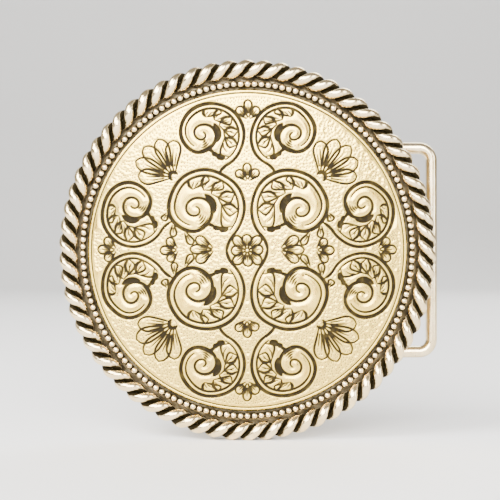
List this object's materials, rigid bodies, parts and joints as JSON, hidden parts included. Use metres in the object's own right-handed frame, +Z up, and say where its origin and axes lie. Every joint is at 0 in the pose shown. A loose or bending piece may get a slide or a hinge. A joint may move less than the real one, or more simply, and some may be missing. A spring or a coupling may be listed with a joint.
{
  "type": "belt buckle",
  "caption": "Round western trophy-style belt buckle: curved backing plate, domed scroll-engraved face, bead wire, twisted rope edge, hinged wire bail and hook peg on the back.",
  "frame": {"origin": "middle of the backing plate's rear face, where the belt's tip lies behind the plate", "axes": "worn: +Z up, -Y the way the engraved face looks, +X towards the bail, which is the viewer's right"},
  "size_m": [0.0788, 0.0157, 0.0778],
  "materials": {
    "engraved_gold": "pale antique gold, polished, hand engraved, with dark antiquing in the cuts",
    "rope_gold": "bright pale gold twisted wire, near-black antiquing between the strands",
    "backing_brass": "satin brushed brass with a brown patina",
    "wire_metal": "polished pale gold wire, lightly worn"
  },
  "bodies": {
    "root": {"base_plate": "backing_brass", "face_plate": "engraved_gold", "bead_wire": "engraved_gold", "rope_strand_a": "rope_gold", "rope_strand_b": "rope_gold", "hinge_pad": "backing_brass", "hinge_rivet_1": "backing_brass", "hinge_rivet_2": "backing_brass", "hinge_rivet_3": "backing_brass", "hinge_rivet_4": "backing_brass", "hinge_tube": "backing_brass", "hook_pad": "backing_brass", "hook_rivet_1": "backing_brass", "hook_rivet_2": "backing_brass", "hook_peg": "wire_metal"},
    "bail_body": {"bail": "wire_metal"}
  },
  "joints": [
    {"name": "bail_hinge", "type": "hinge", "parent": "root", "child": "bail_body", "pos_m": [0.022, 0.00451, 0], "axis": [0, 0, 1], "range_deg": [-3, 188]}
  ]
}
